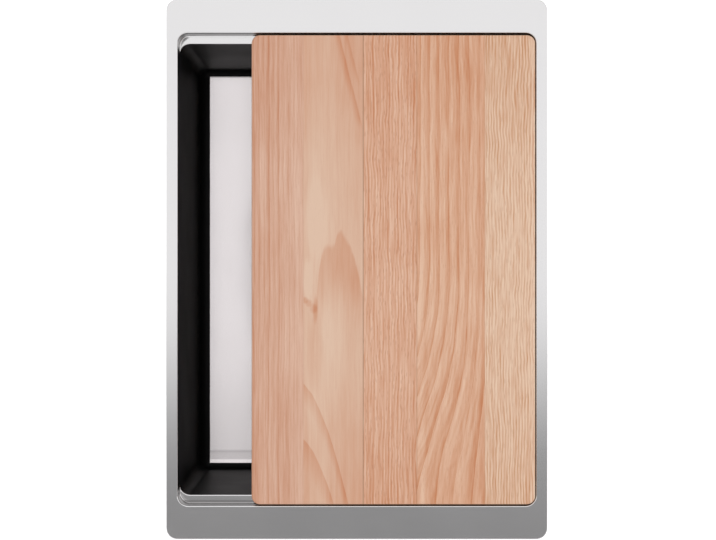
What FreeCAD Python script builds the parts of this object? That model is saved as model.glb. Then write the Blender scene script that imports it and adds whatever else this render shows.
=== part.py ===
import FreeCAD, Part
import math
import os

from FreeCAD import Placement, Rotation, Vector

# Inset workstation kitchen sink with a sliding beech board, in millimetres.
# The origin is the centre of the face that lies on the worktop. +Z is up, -Y is the user's side.
# A steel deck has a ledge along the front and the rear of its opening, and the board slides on
# them from side to side. Below are the black bowl walls, the steel floor, a basket strainer
# waste, an overflow with its ribbed hose, and two rails with clamps that grip the worktop.

# ---- driving sizes ----
SHEET = 1.2  # steel sheet of the deck, the bowl walls and the floor
SNUG = 0.05  # radial room in a running fit

DECK_WIDTH = 360.0  # side to side
DECK_LENGTH = 510.0  # front to back
DECK_CORNER = 11.0
EDGE_ROUND = 1.0  # the deck's outer edge and the edge of its opening
SEAL_THICKNESS = 1.5
SEAL_WIDTH = 6.0
RIM_CLEARANCE = 0.3  # the turned-down rim stops this far above the worktop

OPENING_WIDTH = 338.0
OPENING_LENGTH = 446.0
OPENING_CORNER = 10.0
LEDGE_DEPTH = 16.0  # from the deck down to the ledge
LEDGE_WIDTH = 8.0
LEDGE_BEND = 0.8  # hollow bend between the step's wall and the ledge
LEDGE_EDGE_ROUND = 1.0

BOWL_DEPTH = 200.0  # from the deck down to the floor
BOWL_CORNER = 10.0
FLOOR_BEND = 8.0  # hollow bend between the bowl walls and the floor
FLOOR_WIDTH = 319.4
FLOOR_LENGTH = 417.8
FLOOR_CORNER = 1.2
FLOOR_LAP = 12.0  # how far the walls' bottom flange reaches under the floor
FALL_RADIUS = 145.0  # the floor falls towards the drain inside this radius
FALL_DROP = 1.5

BOARD_LENGTH = 442.4
BOARD_THICKNESS = 18.0
BOARD_CORNER = 8.0
BOARD_EDGE_ROUND = 2.0
BOARD_RIGHT_GAP = 0.8
BOARD_FORWARD = 0.4  # how far in front of the opening's middle the board lies
STAVE_WIDTHS = (49.0, 56.2, 50.6, 64.0, 47.6)

DRAIN_HOLE_RADIUS = 45.0
DIMPLE_RADIUS = 68.0
DIMPLE_SEAT_RADIUS = 61.0
DIMPLE_DEPTH = 3.0
GASKET_BORE_RADIUS = 45.5
UPPER_GASKET = 1.0
UPPER_GASKET_RADIUS = 56.0
LOWER_GASKET = 3.0
LOWER_GASKET_RADIUS = 58.0
CUP_FLANGE_RADIUS = 57.0
CUP_RADIUS = 43.5
CUP_SHEET = 1.0
CUP_FOOT_RADIUS = 37.0
CUP_DEPTH = 41.7
CUP_SEAT_LOW = 4.0  # the tapered seat's height above the cup's floor, lower edge
CUP_SEAT_HIGH = 10.0
BODY_WALL_RADIUS = 50.0
BODY_BORE_RADIUS = 47.0
OUTLET_THREAD_RADIUS = 23.9  # G 1 1/2
OUTLET_BORE_RADIUS = 18.5
OUTLET_THREAD_LENGTH = 20.0
FUNNEL_HEIGHT = 18.0
WATER_HOLE_RADIUS = 9.0
WATER_HOLE_CIRCLE = 24.0
WATER_HOLES = 6
SCREW_RADIUS = 3.0
SCREW_HEAD_RADIUS = 5.8
SCREW_HEAD_HEIGHT = 3.0

STOPPER_LOW = 6.0  # the rubber stopper's height above the cup's floor
STOPPER_THICKNESS = 3.0
STOPPER_GAP = 0.3  # between the stopper and the seat
BASKET_LOW = 13.0  # the basket's height above the cup's floor
BASKET_DROP = 2.7  # from the drain's seat down to the basket's rim
BASKET_SHEET = 0.8
KNOB_DROP = 0.5  # from the drain's seat down to the knob's top

OVERFLOW_DROP = 52.7  # from the deck down to the overflow's axis
OVERFLOW_HOLE_RADIUS = 13.0
OVERFLOW_GASKET = 2.5
OVERFLOW_SCREW_RADIUS = 2.4
COVER_WIDTH = 66.0
COVER_HEIGHT = 28.0
COVER_DEPTH = 5.0
HOSE_BORE_RADIUS = 9.5
HOSE_VALLEY_RADIUS = 11.0
HOSE_CREST_RADIUS = 13.0
HOSE_BEND_RADIUS = 45.0
HOSE_CUFF = 24.0
HOSE_RIBS = 38
HOSE_STANDOFF = 18.0  # from the rear wall's inner face to the hose's axis
HOSE_DROP = 25.7  # from the drain's seat down to the hose's run forward
HOSE_FRONT_END = 60.0  # how far from the drain's axis the hose ends
SPIGOT_RADIUS = HOSE_BORE_RADIUS - SNUG
SPIGOT_BORE_RADIUS = 7.5
SPIGOT_LENGTH = 22.0

RAIL_LENGTH = 300.0
RAIL_WIDTH = 16.0
RAIL_HEIGHT = 12.0
RAIL_LIP = 3.0
RAIL_GAP = 1.8  # between the step's wall and the rail
CLAMP_X = 105.0
BOLT_RADIUS = 3.0
BOLT_FLAT = 2.4  # half the width across the bolt's two flats
BOLT_LENGTH = 62.0
CLAW_WIDTH = 16.0
CLAW_REACH = 26.0
CLAW_HEEL = 12.0
CLAW_SHEET = 3.0
CLAW_TEETH = 8.0
CLAW_TIP_Z = -39.0  # tips of the teeth while the clamp is slack

PAD_THICKNESS = 1.5
PAD_HEIGHT = 78.0  # middle of the wall pads above the floor

# ---- levels and places that follow ----
DECK_BOTTOM = SEAL_THICKNESS
DECK_TOP = DECK_BOTTOM + SHEET
LEDGE_TOP = DECK_TOP - LEDGE_DEPTH
LEDGE_BOTTOM = LEDGE_TOP - SHEET
FLOOR_TOP = DECK_TOP - BOWL_DEPTH
FLOOR_BOTTOM = FLOOR_TOP - SHEET
BOWL_BOTTOM = FLOOR_BOTTOM - SHEET

BOWL_LENGTH = OPENING_LENGTH - 2 * LEDGE_WIDTH
BOWL_REAR = BOWL_LENGTH / 2  # inner face of the rear wall
WALL_X = OPENING_WIDTH / 2 + SHEET  # outer face of a side wall
WALL_Y = BOWL_REAR + SHEET  # outer face of the rear wall
STEP_END = BOWL_REAR - BOWL_CORNER  # where the ledge's corner runs out into the side wall

BOARD_WIDTH = sum(STAVE_WIDTHS)
BOARD_LEFT = OPENING_WIDTH / 2 - BOARD_RIGHT_GAP - BOARD_WIDTH

SEAT_Z = FLOOR_TOP - FALL_DROP - DIMPLE_DEPTH  # top of the drain's seat in the floor
CUP_FLANGE_BOTTOM = SEAT_Z + UPPER_GASKET
CUP_FLANGE_TOP = CUP_FLANGE_BOTTOM + CUP_SHEET
CUP_BOTTOM = CUP_FLANGE_TOP - CUP_DEPTH
CUP_FLOOR = CUP_BOTTOM + CUP_SHEET
BODY_TOP = SEAT_Z - SHEET - LOWER_GASKET
FUNNEL_BOTTOM = CUP_BOTTOM - FUNNEL_HEIGHT
STOPPER_BOTTOM = CUP_FLOOR + STOPPER_LOW
STOPPER_TOP = STOPPER_BOTTOM + STOPPER_THICKNESS
STOPPER_BORE = 6.0
BASKET_BOTTOM = CUP_FLOOR + BASKET_LOW
BASKET_TOP = SEAT_Z - BASKET_DROP

OVERFLOW_Z = DECK_TOP - OVERFLOW_DROP
ELBOW_FACE = WALL_Y + OVERFLOW_GASKET
HOSE_REAR_Y = BOWL_REAR + HOSE_STANDOFF
HOSE_TOP_Z = OVERFLOW_Z - SPIGOT_LENGTH
HOSE_LOW_Z = SEAT_Z - HOSE_DROP
HOSE_FALL = HOSE_TOP_Z - HOSE_LOW_Z - HOSE_BEND_RADIUS
HOSE_BEND = HOSE_BEND_RADIUS * math.pi / 2
HOSE_RUN = HOSE_REAR_Y - HOSE_BEND_RADIUS - HOSE_FRONT_END
HOSE_LENGTH = HOSE_FALL + HOSE_BEND + HOSE_RUN

RAIL_Y = OPENING_LENGTH / 2 + SHEET + RAIL_GAP + RAIL_WIDTH / 2
RAIL_BOTTOM = DECK_BOTTOM - RAIL_HEIGHT
BOLT_FOOT = RAIL_BOTTOM + SHEET  # the foot rests on the rail's lips
CLAW_TOP = CLAW_TIP_Z - CLAW_TEETH
CLAW_BOTTOM = CLAW_TOP - CLAW_SHEET

ORIGIN = Vector(0, 0, 0)
X_AXIS = Vector(1, 0, 0)
Y_AXIS = Vector(0, 1, 0)
Z_AXIS = Vector(0, 0, 1)
DOWN = Vector(0, 0, -1)
OVER = 1.0  # how far a cutting shape passes the face that it cuts
NEAR = 0.001  # slack when an edge is picked by its place


# ---- shapes used by several pieces ----
def box(x0, x1, y0, y1, z0, z1):
    return Part.makeBox(x1 - x0, y1 - y0, z1 - z0, Vector(x0, y0, z0))


def cylinder(radius, start, direction, length):
    return Part.makeCylinder(radius, length, start, direction)


def edges_along(shape, direction):
    """The straight edges that run along one axis."""
    return [
        e
        for e in shape.Edges
        if isinstance(e.Curve, Part.Line) and abs(abs(e.Curve.Direction.dot(direction)) - 1) < NEAR
    ]


def edges_at(shape, z):
    """The edges that lie wholly at height z."""
    return [
        e
        for e in shape.Edges
        if abs(e.BoundBox.ZMin - z) < NEAR and abs(e.BoundBox.ZMax - z) < NEAR
    ]


def rounded_prism(width, length, corner, low, high):
    """A block about the Z axis with rounded upright edges."""
    block = box(-width / 2, width / 2, -length / 2, length / 2, low, high)
    return block.makeFillet(corner, edges_along(block, Z_AXIS))


def revolved(profile):
    """A solid of revolution about Z from (radius, height) points."""
    points = [Vector(r, 0, z) for r, z in profile]
    return Part.Face(Part.makePolygon(points + points[:1])).revolve(ORIGIN, Z_AXIS, 360)


def ring(outer, inner, low, high):
    return revolved([(inner, low), (outer, low), (outer, high), (inner, high)])


def prism_along_x(profile, x0, x1):
    """A prism from x0 to x1 whose section is a list of (y, z) points."""
    points = [Vector(x0, y, z) for y, z in profile]
    return Part.Face(Part.makePolygon(points + points[:1])).extrude(Vector(x1 - x0, 0, 0))


def circle_of_copies(shape, count, first_angle=0.0):
    copies = []
    for i in range(count):
        copy = shape.copy()
        copy.rotate(ORIGIN, Z_AXIS, first_angle + 360.0 * i / count)
        copies.append(copy)
    return copies


# ---- deck, bowl and floor ----
def bowl_space(inset=0.0):
    """The room inside the bowl walls, from their bottom flange up past the ledges."""
    low = FLOOR_BOTTOM + inset
    space = rounded_prism(
        OPENING_WIDTH - 2 * inset,
        BOWL_LENGTH - 2 * inset,
        BOWL_CORNER - inset,
        low,
        LEDGE_TOP + OVER,
    )
    return space.makeFillet(FLOOR_BEND - inset, edges_at(space, low))


def tray_space():
    """The room above the ledges, which the board slides in."""
    space = rounded_prism(
        OPENING_WIDTH, OPENING_LENGTH, OPENING_CORNER, LEDGE_TOP, DECK_TOP + OVER
    )
    return space.makeFillet(LEDGE_BEND, edges_at(space, LEDGE_TOP))


def ledge_edge_relief():
    """What the rounding of both ledges' inner edges takes away."""
    r = LEDGE_EDGE_ROUND
    inward = r * (1 - math.sqrt(0.5))
    start = Vector(0, BOWL_REAR, LEDGE_TOP)
    far = start + Vector(0, r, 0)
    low = start + Vector(0, 0, -r)
    arc = Part.Arc(far, start + Vector(0, inward, -inward), low).toShape()
    lines = [Part.LineSegment(start, far).toShape(), Part.LineSegment(low, start).toShape()]
    section = Part.Face(Part.Wire([lines[0], arc, lines[1]]))
    half = OPENING_WIDTH / 2 - BOWL_CORNER
    section.translate(Vector(-half, 0, 0))
    relief = section.extrude(Vector(2 * half, 0, 0))
    for x, angle in ((-half, 90), (half, -90)):
        end_section = section.copy()
        end_section.translate(Vector(x + half, 0, 0))
        relief = relief.fuse(end_section.revolve(Vector(x, STEP_END, 0), Z_AXIS, angle))
    footprint = rounded_prism(
        OPENING_WIDTH, OPENING_LENGTH, OPENING_CORNER, LEDGE_BOTTOM, LEDGE_TOP + OVER
    )
    relief = relief.common(footprint)
    return [relief, relief.mirror(ORIGIN, Y_AXIS)]


def make_deck():
    """The deck with its turned-down rim and, front and rear, a pressed step and ledge."""
    rim_bottom = RIM_CLEARANCE
    pan = rounded_prism(DECK_WIDTH, DECK_LENGTH, DECK_CORNER, rim_bottom, DECK_TOP)
    under = rounded_prism(
        DECK_WIDTH - 2 * SHEET,
        DECK_LENGTH - 2 * SHEET,
        DECK_CORNER - SHEET,
        rim_bottom - OVER,
        DECK_BOTTOM,
    )
    step = rounded_prism(
        OPENING_WIDTH + 2 * SHEET,
        OPENING_LENGTH + 2 * SHEET,
        OPENING_CORNER + SHEET,
        LEDGE_BOTTOM,
        DECK_BOTTOM,
    )
    step = step.makeFillet(LEDGE_BEND + SHEET, edges_at(step, LEDGE_BOTTOM))
    between = box(-WALL_X, WALL_X, -STEP_END, STEP_END, LEDGE_BOTTOM - OVER, DECK_BOTTOM)
    deck = pan.cut(under).fuse(step.cut(between)).cut([tray_space(), bowl_space()])
    deck = deck.removeSplitter().cut(ledge_edge_relief())
    return deck.makeFillet(EDGE_ROUND, edges_at(deck, DECK_TOP))


def make_bowl_walls():
    """Four walls with rounded corners, bent inwards to a flange that carries the floor."""
    outside = rounded_prism(
        2 * WALL_X, 2 * WALL_Y, BOWL_CORNER + SHEET, BOWL_BOTTOM, LEDGE_BOTTOM
    )
    outside = outside.makeFillet(FLOOR_BEND + SHEET, edges_at(outside, BOWL_BOTTOM))
    cheeks = box(-WALL_X, WALL_X, -STEP_END, STEP_END, LEDGE_BOTTOM, DECK_BOTTOM)
    window = rounded_prism(
        FLOOR_WIDTH - 2 * FLOOR_LAP,
        FLOOR_LENGTH - 2 * FLOOR_LAP,
        FLOOR_BEND,
        BOWL_BOTTOM - OVER,
        FLOOR_TOP,
    )
    half = OPENING_WIDTH / 2
    between_cheeks = box(-half, half, -STEP_END, STEP_END, LEDGE_TOP, DECK_TOP)
    start = Vector(0, BOWL_REAR - OVER, OVERFLOW_Z)
    overflow_hole = cylinder(OVERFLOW_HOLE_RADIUS, start, Y_AXIS, SHEET + 2 * OVER)
    inside = [bowl_space(), between_cheeks, window, overflow_hole]
    return outside.fuse(cheeks).cut(inside).removeSplitter()


def floor_dish():
    """The round middle of the floor, which falls to the drain's sunk seat."""
    top = [
        (FALL_RADIUS, FLOOR_TOP),
        (DIMPLE_RADIUS, FLOOR_TOP - FALL_DROP),
        (DIMPLE_SEAT_RADIUS, SEAT_Z),
        (DRAIN_HOLE_RADIUS, SEAT_Z),
    ]
    bottom = [(r, z - SHEET) for r, z in reversed(top)]
    return revolved(top + bottom)


def make_floor():
    """Floor plate whose turned-up edge follows the walls' bend."""
    outline = rounded_prism(
        FLOOR_WIDTH, FLOOR_LENGTH, FLOOR_CORNER, FLOOR_BOTTOM, FLOOR_TOP + FLOOR_BEND
    )
    plate = bowl_space().cut(bowl_space(SHEET)).common(outline)
    middle = cylinder(FALL_RADIUS, Vector(0, 0, FLOOR_BOTTOM - OVER), Z_AXIS, SHEET + 2 * OVER)
    return plate.cut(middle).fuse(floor_dish()).removeSplitter()


def make_deck_seal():
    """Foam strip between the deck and the worktop, inside the deck's rim."""
    margin = 2 * (SHEET + RIM_CLEARANCE)
    width, length = DECK_WIDTH - margin, DECK_LENGTH - margin
    corner = DECK_CORNER - margin / 2
    outside = rounded_prism(width, length, corner, 0, DECK_BOTTOM)
    inside = rounded_prism(
        width - 2 * SEAL_WIDTH,
        length - 2 * SEAL_WIDTH,
        corner - SEAL_WIDTH,
        -OVER,
        DECK_BOTTOM + OVER,
    )
    return outside.cut(inside)


# ---- chopping board ----
def make_staves():
    """The board's glued staves, left to right, cut from one rounded slab."""
    top = LEDGE_TOP + BOARD_THICKNESS
    slab = rounded_prism(BOARD_WIDTH, BOARD_LENGTH, BOARD_CORNER, LEDGE_TOP, top)
    slab.translate(Vector(BOARD_LEFT + BOARD_WIDTH / 2, -BOARD_FORWARD, 0))
    slab = slab.makeFillet(BOARD_EDGE_ROUND, edges_at(slab, LEDGE_TOP) + edges_at(slab, top))
    staves = {}
    left = BOARD_LEFT
    for number, width in enumerate(STAVE_WIDTHS, 1):
        cell = box(left, left + width, -BOARD_LENGTH, BOARD_LENGTH, LEDGE_TOP - OVER, top + OVER)
        staves[f"board_stave_{number}"] = slab.common(cell)
        left += width
    return staves


# ---- waste with basket strainer ----
def seat_radius(height):
    """Radius of the cup's tapered seat at a height above the cup's floor."""
    low, high = CUP_FOOT_RADIUS - CUP_SHEET, CUP_RADIUS - CUP_SHEET
    return low + (high - low) * (height - CUP_SEAT_LOW) / (CUP_SEAT_HIGH - CUP_SEAT_LOW)


def make_waste_cup():
    """Steel flange and cup that the basket stands in, with water holes in its bottom."""
    wall_drop = 0.5  # keeps the tapered wall as thick as the sheet
    mouth_round = 0.9
    low, high = CUP_FLOOR + CUP_SEAT_LOW, CUP_FLOOR + CUP_SEAT_HIGH
    cup = revolved(
        [
            (0, CUP_BOTTOM),
            (CUP_FOOT_RADIUS, CUP_BOTTOM),
            (CUP_FOOT_RADIUS, low - wall_drop),
            (CUP_RADIUS, high - wall_drop),
            (CUP_RADIUS, CUP_FLANGE_BOTTOM),
            (CUP_FLANGE_RADIUS, CUP_FLANGE_BOTTOM),
            (CUP_FLANGE_RADIUS, CUP_FLANGE_TOP),
            (CUP_RADIUS - CUP_SHEET, CUP_FLANGE_TOP),
            (CUP_RADIUS - CUP_SHEET, high),
            (CUP_FOOT_RADIUS - CUP_SHEET, low),
            (CUP_FOOT_RADIUS - CUP_SHEET, CUP_FLOOR),
            (0, CUP_FLOOR),
        ]
    )
    mouth = [e for e in edges_at(cup, CUP_FLANGE_TOP) if e.Curve.Radius < CUP_RADIUS]
    cup = cup.makeFillet(mouth_round, mouth)
    below = CUP_BOTTOM - OVER
    depth = CUP_SHEET + 2 * OVER
    screw_hole = cylinder(SCREW_RADIUS + SNUG, Vector(0, 0, below), Z_AXIS, depth)
    water_hole = cylinder(WATER_HOLE_RADIUS, Vector(WATER_HOLE_CIRCLE, 0, below), Z_AXIS, depth)
    return cup.cut([screw_hole] + circle_of_copies(water_hole, WATER_HOLES, 180 / WATER_HOLES))


def make_ring_gasket(radius, low, thickness):
    """Flat rubber ring round the drain hole."""
    return ring(radius, GASKET_BORE_RADIUS, low, low + thickness)


def make_waste_body():
    """Moulded body below the floor: rim, ribbed wall, funnel, threaded outlet and hose spigot."""
    rim_radius, rim_thickness = 59.0, 4.0
    collar_radius, collar_height = 27.0, 4.0
    rib_count, rib_half, rib_height, rib_reach = 12, 1.25, 18.0, 58.0
    boss_radius, boss_height, boss_floor = 7.5, 16.0, 3.0
    spoke_count, spoke_half, spoke_drop = 3, 1.5, 2.0
    rim_bottom = BODY_TOP - rim_thickness
    thread_top = FUNNEL_BOTTOM - collar_height
    end = thread_top - OUTLET_THREAD_LENGTH
    outside = revolved(
        [
            (0, BODY_TOP),
            (rim_radius, BODY_TOP),
            (rim_radius, rim_bottom),
            (BODY_WALL_RADIUS, rim_bottom),
            (BODY_WALL_RADIUS, CUP_BOTTOM),
            (collar_radius, FUNNEL_BOTTOM),
            (collar_radius, thread_top),
            (OUTLET_THREAD_RADIUS, thread_top),
            (OUTLET_THREAD_RADIUS, end),
            (0, end),
        ]
    )
    inside = revolved(
        [
            (0, BODY_TOP + OVER),
            (BODY_BORE_RADIUS, BODY_TOP + OVER),
            (BODY_BORE_RADIUS, CUP_BOTTOM),
            (OUTLET_BORE_RADIUS, FUNNEL_BOTTOM),
            (OUTLET_BORE_RADIUS, end - OVER),
            (0, end - OVER),
        ]
    )
    wall = (BODY_BORE_RADIUS + BODY_WALL_RADIUS) / 2
    rib_section = [(wall, rim_bottom), (rib_reach, rim_bottom), (wall, rim_bottom - rib_height)]
    rib = prism_along_x(rib_section, -rib_half, rib_half)
    ribs = circle_of_copies(rib, rib_count, 180 / rib_count)
    start = Vector(0, wall, HOSE_LOW_Z)
    spigot_end = HOSE_FRONT_END + SPIGOT_LENGTH
    spigot = cylinder(SPIGOT_RADIUS, start, Y_AXIS, spigot_end - wall)
    shoulder = cylinder(HOSE_CREST_RADIUS, start, Y_AXIS, HOSE_FRONT_END - wall)
    inner_start = Vector(0, BODY_BORE_RADIUS - OVER, HOSE_LOW_Z)
    spigot_bore = cylinder(SPIGOT_BORE_RADIUS, inner_start, Y_AXIS, spigot_end)
    boss_low = CUP_BOTTOM - boss_height
    boss = cylinder(boss_radius, Vector(0, 0, boss_low), Z_AXIS, boss_height)
    spoke_top = CUP_BOTTOM - spoke_drop
    spoke = box(-spoke_half, spoke_half, 0, BODY_WALL_RADIUS, boss_low, spoke_top)
    spokes = [s.common(inside) for s in circle_of_copies(spoke, spoke_count, 180)]
    bore_start = Vector(0, 0, boss_low + boss_floor)
    screw_bore = cylinder(SCREW_RADIUS, bore_start, Z_AXIS, boss_height)
    shell = outside.fuse(ribs + [spigot, shoulder]).cut([inside, spigot_bore])
    return shell.fuse([boss] + spokes).cut(screw_bore).removeSplitter()


def make_waste_screw():
    """Slotted screw that pulls the cup and the body together on the floor."""
    depth, slot_half, slot_depth = 12.0, 0.7, 1.2
    top = CUP_FLOOR + SCREW_HEAD_HEIGHT
    head = cylinder(SCREW_HEAD_RADIUS, Vector(0, 0, CUP_FLOOR), Z_AXIS, SCREW_HEAD_HEIGHT)
    shank = cylinder(SCREW_RADIUS, Vector(0, 0, CUP_BOTTOM - depth), Z_AXIS, depth + CUP_SHEET)
    reach = SCREW_HEAD_RADIUS + OVER
    slot = box(-reach, reach, -slot_half, slot_half, top - slot_depth, top + OVER)
    return head.fuse(shank).cut(slot).removeSplitter()


def make_basket():
    """Pressed steel basket with round holes in its wall and bottom."""
    rim, mouth, foot = 41.5, 38.0, 34.0
    floor_rings = ((16.0, 10), (26.0, 16))
    hole_radius, wall_hole_radius, wall_holes, stem_radius = 2.0, 2.2, 16, 2.5
    t = BASKET_SHEET
    basket = revolved(
        [
            (0, BASKET_BOTTOM),
            (foot, BASKET_BOTTOM),
            (mouth, BASKET_TOP - t),
            (rim, BASKET_TOP - t),
            (rim, BASKET_TOP),
            (mouth - t, BASKET_TOP),
            (foot - t, BASKET_BOTTOM + t),
            (0, BASKET_BOTTOM + t),
        ]
    )
    below, depth = BASKET_BOTTOM - OVER, t + 2 * OVER
    holes = [cylinder(stem_radius, Vector(0, 0, below), Z_AXIS, depth)]
    for radius, count in floor_rings:
        hole = cylinder(hole_radius, Vector(radius, 0, below), Z_AXIS, depth)
        holes += circle_of_copies(hole, count)
    middle = (BASKET_BOTTOM + BASKET_TOP) / 2
    wall_hole = cylinder(wall_hole_radius, Vector(foot / 2, 0, middle), X_AXIS, rim)
    return basket.cut(holes + circle_of_copies(wall_hole, wall_holes))


def make_basket_stopper():
    """Rubber disc below the basket that closes on the cup's tapered seat."""
    slope = seat_radius(1) - seat_radius(0)
    room = STOPPER_GAP * math.hypot(slope, 1)
    low = seat_radius(STOPPER_LOW) - room
    high = seat_radius(STOPPER_LOW + STOPPER_THICKNESS) - room
    return revolved(
        [
            (STOPPER_BORE, STOPPER_BOTTOM),
            (low, STOPPER_BOTTOM),
            (high, STOPPER_TOP),
            (STOPPER_BORE, STOPPER_TOP),
        ]
    )


def make_basket_stem():
    """Moulded stem that holds the stopper and stands on the cup's floor round the screw's head."""
    neck, flange, flange_thickness, skirt, bore = 8.0, 10.0, 1.5, 9.0, 6.4
    ceiling = STOPPER_BOTTOM - flange_thickness
    return revolved(
        [
            (0, BASKET_BOTTOM),
            (neck, BASKET_BOTTOM),
            (neck, STOPPER_TOP),
            (STOPPER_BORE, STOPPER_TOP),
            (STOPPER_BORE, STOPPER_BOTTOM),
            (flange, STOPPER_BOTTOM),
            (flange, ceiling),
            (skirt, ceiling),
            (skirt, CUP_FLOOR),
            (bore, CUP_FLOOR),
            (bore, ceiling),
            (0, ceiling),
        ]
    )


def make_basket_knob():
    """Turned steel knob and its post, which stands in the middle of the basket."""
    spigot, foot, neck, grip = 2.4, 7.0, 4.0, 10.5
    foot_height, grip_low, grip_high = 5.0, 8.0, 5.0
    edge_round = 2.0
    top = SEAT_Z - KNOB_DROP
    knob = revolved(
        [
            (0, BASKET_BOTTOM),
            (spigot, BASKET_BOTTOM),
            (spigot, BASKET_BOTTOM + BASKET_SHEET),
            (foot, BASKET_BOTTOM + BASKET_SHEET),
            (neck, BASKET_BOTTOM + foot_height),
            (neck, top - grip_low),
            (grip, top - grip_high),
            (grip, top),
            (0, top),
        ]
    )
    return knob.makeFillet(edge_round, edges_at(knob, top))


# ---- overflow ----
def make_overflow_cover():
    """Pressed cover on the rear wall with slots on both sides of its screw."""
    corner, edge_round, sheet = 6.0, 1.5, 1.0
    slot_places, slot_width, slot_height, slot_round = (12.0, 18.0, 24.0), 3.0, 15.0, 1.4
    shell = rounded_prism(COVER_WIDTH, COVER_HEIGHT, corner, 0, COVER_DEPTH)
    shell = shell.makeFillet(edge_round, edges_at(shell, COVER_DEPTH))
    hollow = rounded_prism(
        COVER_WIDTH - 2 * sheet,
        COVER_HEIGHT - 2 * sheet,
        corner - sheet,
        -OVER,
        COVER_DEPTH - sheet,
    )
    slot = rounded_prism(slot_width, slot_height, slot_round, OVER, COVER_DEPTH + OVER)
    slots = [slot.translated(Vector(s * x, 0, 0)) for x in slot_places for s in (-1, 1)]
    screw_hole = cylinder(OVERFLOW_SCREW_RADIUS + SNUG, ORIGIN, Z_AXIS, COVER_DEPTH + OVER)
    cover = shell.cut([hollow, screw_hole] + slots)
    cover.Placement = Placement(Vector(0, BOWL_REAR, OVERFLOW_Z), Rotation(X_AXIS, 90))
    return cover


def make_overflow_screw():
    """Slotted screw through the cover into the elbow's boss."""
    head_radius, head_height, slot_half, slot_depth = 4.6, 2.2, 0.6, 1.0
    depth = 15.0
    face = BOWL_REAR - COVER_DEPTH
    front = face - head_height
    head = cylinder(head_radius, Vector(0, front, OVERFLOW_Z), Y_AXIS, head_height)
    shank = cylinder(OVERFLOW_SCREW_RADIUS, Vector(0, face, OVERFLOW_Z), Y_AXIS, depth)
    reach = head_radius + OVER
    low, high = OVERFLOW_Z - slot_half, OVERFLOW_Z + slot_half
    slot = box(-reach, reach, front - OVER, front + slot_depth, low, high)
    return head.fuse(shank).cut(slot).removeSplitter()


def make_overflow_gasket():
    radius = 20.0
    start = Vector(0, WALL_Y, OVERFLOW_Z)
    outside = cylinder(radius, start, Y_AXIS, OVERFLOW_GASKET)
    start = Vector(0, WALL_Y - OVER, OVERFLOW_Z)
    return outside.cut(cylinder(OVERFLOW_HOLE_RADIUS, start, Y_AXIS, OVERFLOW_GASKET + 2 * OVER))


def make_overflow_elbow():
    """Moulded elbow behind the rear wall: flange, chamber, screw boss and hose spigot."""
    flange_radius, flange_thickness = 21.0, 3.0
    chamber_radius, wall, edge_round = 14.0, 2.0, 3.0
    boss_radius, boss_length = 4.5, 9.0
    bar_half, bar_length = 1.2, 5.0
    face = Vector(0, ELBOW_FACE, OVERFLOW_Z)
    before = face - Vector(0, OVER, 0)
    back = HOSE_REAR_Y + HOSE_CREST_RADIUS
    flange = cylinder(flange_radius, face, Y_AXIS, flange_thickness)
    chamber = cylinder(chamber_radius, face, Y_AXIS, back - face.y)
    rear_edge = [e for e in chamber.Edges if e.BoundBox.YMin > back - NEAR]
    chamber = chamber.makeFillet(edge_round, rear_edge)
    axis = Vector(0, HOSE_REAR_Y, OVERFLOW_Z)
    shoulder = cylinder(HOSE_CREST_RADIUS, axis, DOWN, OVERFLOW_Z - HOSE_TOP_Z)
    pipe = cylinder(SPIGOT_RADIUS, axis, DOWN, 2 * SPIGOT_LENGTH)
    pipe_bore = cylinder(SPIGOT_BORE_RADIUS, axis, DOWN, 3 * SPIGOT_LENGTH)
    hollow = cylinder(chamber_radius - wall, before, Y_AXIS, back - wall - before.y)
    boss = cylinder(boss_radius, face, Y_AXIS, boss_length)
    reach = chamber_radius - wall / 2
    low, high = OVERFLOW_Z - bar_half, OVERFLOW_Z + bar_half
    bar = box(-reach, reach, face.y, face.y + bar_length, low, high)
    screw_bore = cylinder(OVERFLOW_SCREW_RADIUS, before, Y_AXIS, boss_length)
    shell = flange.fuse([chamber, shoulder, pipe]).cut([hollow, pipe_bore])
    return shell.fuse([boss, bar]).cut(screw_bore).removeSplitter()


def hose_point(distance):
    """Centre and direction of the hose at a distance from its top: down, round, forward."""
    if distance <= HOSE_FALL:
        return Vector(0, HOSE_REAR_Y, HOSE_TOP_Z - distance), DOWN
    if distance >= HOSE_FALL + HOSE_BEND:
        y = HOSE_FRONT_END + HOSE_LENGTH - distance
        return Vector(0, y, HOSE_LOW_Z), Vector(0, -1, 0)
    angle = (distance - HOSE_FALL) / HOSE_BEND_RADIUS
    pivot = Vector(0, HOSE_REAR_Y - HOSE_BEND_RADIUS, HOSE_LOW_Z + HOSE_BEND_RADIUS)
    outwards = Vector(0, math.cos(angle), -math.sin(angle))
    return pivot + outwards * HOSE_BEND_RADIUS, Vector(0, -math.sin(angle), -math.cos(angle))


def hose_circle(distance, radius):
    """A circle across the hose that keeps its own X axis along X, so that a loft doesn't twist."""
    centre, direction = hose_point(distance)
    circle = Part.Circle(ORIGIN, Z_AXIS, radius).toShape()
    turn = Rotation(X_AXIS, direction.cross(X_AXIS), direction, "XZY")
    circle.Placement = Placement(centre, turn)
    return Part.Wire([circle])


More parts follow.
